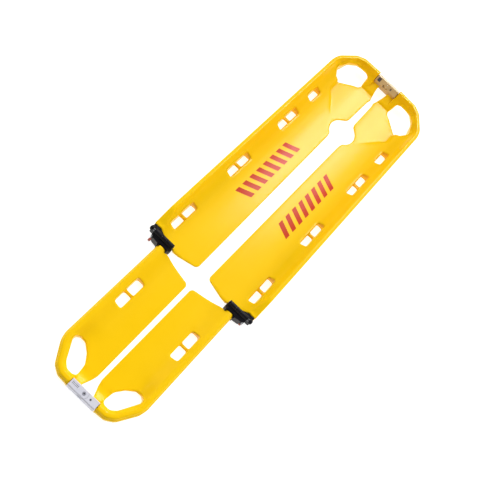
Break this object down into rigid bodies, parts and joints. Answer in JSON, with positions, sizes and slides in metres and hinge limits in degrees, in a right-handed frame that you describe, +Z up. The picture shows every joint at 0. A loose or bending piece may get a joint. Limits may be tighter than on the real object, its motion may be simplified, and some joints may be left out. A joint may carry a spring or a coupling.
{
  "type": "scoop stretcher",
  "caption": "Two-part moulded scoop stretcher with a releasable coupling at each end and a foot section that extends and folds.",
  "frame": {"origin": "on the floor, below the middle of the overall box", "axes": "+X towards the head end, +Y towards the left half, +Z up"},
  "size_m": [1.6299, 0.434, 0.063],
  "materials": {
    "yellow_plastic": "satin moulded",
    "black_casting": "satin powder coat",
    "steel": "bright",
    "plated_steel": "yellow zinc plated",
    "tube_alloy": "satin anodised",
    "coupling_plastic": "satin",
    "dark_plastic": "satin",
    "red_tip": "dipped",
    "nylon": "plain"
  },
  "bodies": {
    "head_left": {"head_shell_left": "yellow_plastic", "hinge_bracket_left": "black_casting", "hinge_pin_left": "steel", "bracket_screw_1_left": "steel", "bracket_screw_2_left": "steel", "head_strap_pin_1_left": "plated_steel", "head_strap_pin_2_left": "plated_steel", "head_strap_pin_3_left": "plated_steel", "head_lock_housing": "coupling_plastic", "head_lock_pivot_pin": "steel", "head_lock_screw_left_1": "steel", "head_lock_screw_left_2": "steel"},
    "arm_left": {"hinge_arm_left": "black_casting", "telescoping_tube_left": "tube_alloy", "tube_end_bush_left": "nylon", "tube_screw_left": "steel"},
    "foot_left": {"foot_shell_left": "yellow_plastic", "tube_mouth_bush_left": "nylon", "foot_strap_pin_left": "plated_steel", "foot_lock_housing": "coupling_plastic", "foot_lock_screw_left_1": "steel", "foot_lock_screw_left_2": "steel"},
    "fold_lock_left": {"fold_lock_pin_left": "steel", "fold_lock_tip_left": "red_tip"},
    "length_lock_left": {"length_lock_plunger_left": "dark_plastic"},
    "head_right": {"head_shell_right": "yellow_plastic", "hinge_bracket_right": "black_casting", "hinge_pin_right": "steel", "bracket_screw_1_right": "steel", "bracket_screw_2_right": "steel", "head_strap_pin_1_right": "plated_steel", "head_strap_pin_2_right": "plated_steel", "head_strap_pin_3_right": "plated_steel", "head_lock_tongue": "coupling_plastic", "head_lock_screw_right_1": "steel", "head_lock_screw_right_2": "steel"},
    "arm_right": {"hinge_arm_right": "black_casting", "telescoping_tube_right": "tube_alloy", "tube_end_bush_right": "nylon", "tube_screw_right": "steel"},
    "foot_right": {"foot_shell_right": "yellow_plastic", "tube_mouth_bush_right": "nylon", "foot_strap_pin_right": "plated_steel", "foot_lock_tongue": "coupling_plastic", "foot_lock_screw_right_1": "steel", "foot_lock_screw_right_2": "steel"},
    "fold_lock_right": {"fold_lock_pin_right": "steel", "fold_lock_tip_right": "red_tip"},
    "length_lock_right": {"length_lock_plunger_right": "dark_plastic"},
    "head_lock_button": {"head_lock_button": "dark_plastic"},
    "head_lock_catch": {"head_lock_catch": "dark_plastic"},
    "foot_lock_button": {"foot_lock_button": "dark_plastic", "foot_lock_pivot_pin": "steel"},
    "foot_lock_catch": {"foot_lock_catch": "dark_plastic"}
  },
  "joints": [
    {"name": "scissor_opening", "type": "hinge", "parent": "head_left", "child": "head_right", "pos_m": [0.801, 0, 0.04], "axis": [0, 0, 1], "range_deg": [0, 25]},
    {"name": "fold_left", "type": "hinge", "parent": "head_left", "child": "arm_left", "pos_m": [-0.303, 0.165, 0.044], "axis": [0, 1, 0], "range_deg": [0, 180]},
    {"name": "extend_left", "type": "slide", "parent": "arm_left", "child": "foot_left", "axis": [-1, 0, 0], "range_m": [0, 0.34]},
    {"name": "fold_lock_pull_left", "type": "slide", "parent": "arm_left", "child": "fold_lock_left", "axis": [-1, 0, 0], "range_m": [0, 0.008], "stiffness_N_per_m": 600},
    {"name": "length_lock_pull_left", "type": "slide", "parent": "foot_left", "child": "length_lock_left", "axis": [0, 0, -1], "range_m": [0, 0.004], "stiffness_N_per_m": 600},
    {"name": "fold_right", "type": "hinge", "parent": "head_right", "child": "arm_right", "pos_m": [-0.303, -0.165, 0.044], "axis": [0, 1, 0], "range_deg": [0, 180]},
    {"name": "extend_right", "type": "slide", "parent": "arm_right", "child": "foot_right", "axis": [-1, 0, 0], "range_m": [0, 0.34]},
    {"name": "fold_lock_pull_right", "type": "slide", "parent": "arm_right", "child": "fold_lock_right", "axis": [-1, 0, 0], "range_m": [0, 0.008], "stiffness_N_per_m": 600},
    {"name": "length_lock_pull_right", "type": "slide", "parent": "foot_right", "child": "length_lock_right", "axis": [0, 0, -1], "range_m": [0, 0.004], "stiffness_N_per_m": 600},
    {"name": "head_lock_press", "type": "slide", "parent": "head_left", "child": "head_lock_button", "axis": [0, 0, -1], "range_m": [0, 0.002], "stiffness_N_per_m": 600},
    {"name": "head_lock_catch_press", "type": "slide", "parent": "head_right", "child": "head_lock_catch", "axis": [0, 0, -1], "range_m": [0, 0.002], "stiffness_N_per_m": 600},
    {"name": "foot_lock_press", "type": "slide", "parent": "foot_left", "child": "foot_lock_button", "axis": [0, 0, -1], "range_m": [0, 0.002], "stiffness_N_per_m": 600},
    {"name": "foot_lock_catch_press", "type": "slide", "parent": "foot_right", "child": "foot_lock_catch", "axis": [0, 0, -1], "range_m": [0, 0.002], "stiffness_N_per_m": 600}
  ],
  "couplings": [
    {"joint": "fold_right", "follows": "fold_left", "ratio": 1},
    {"joint": "extend_right", "follows": "extend_left", "ratio": 1}
  ]
}
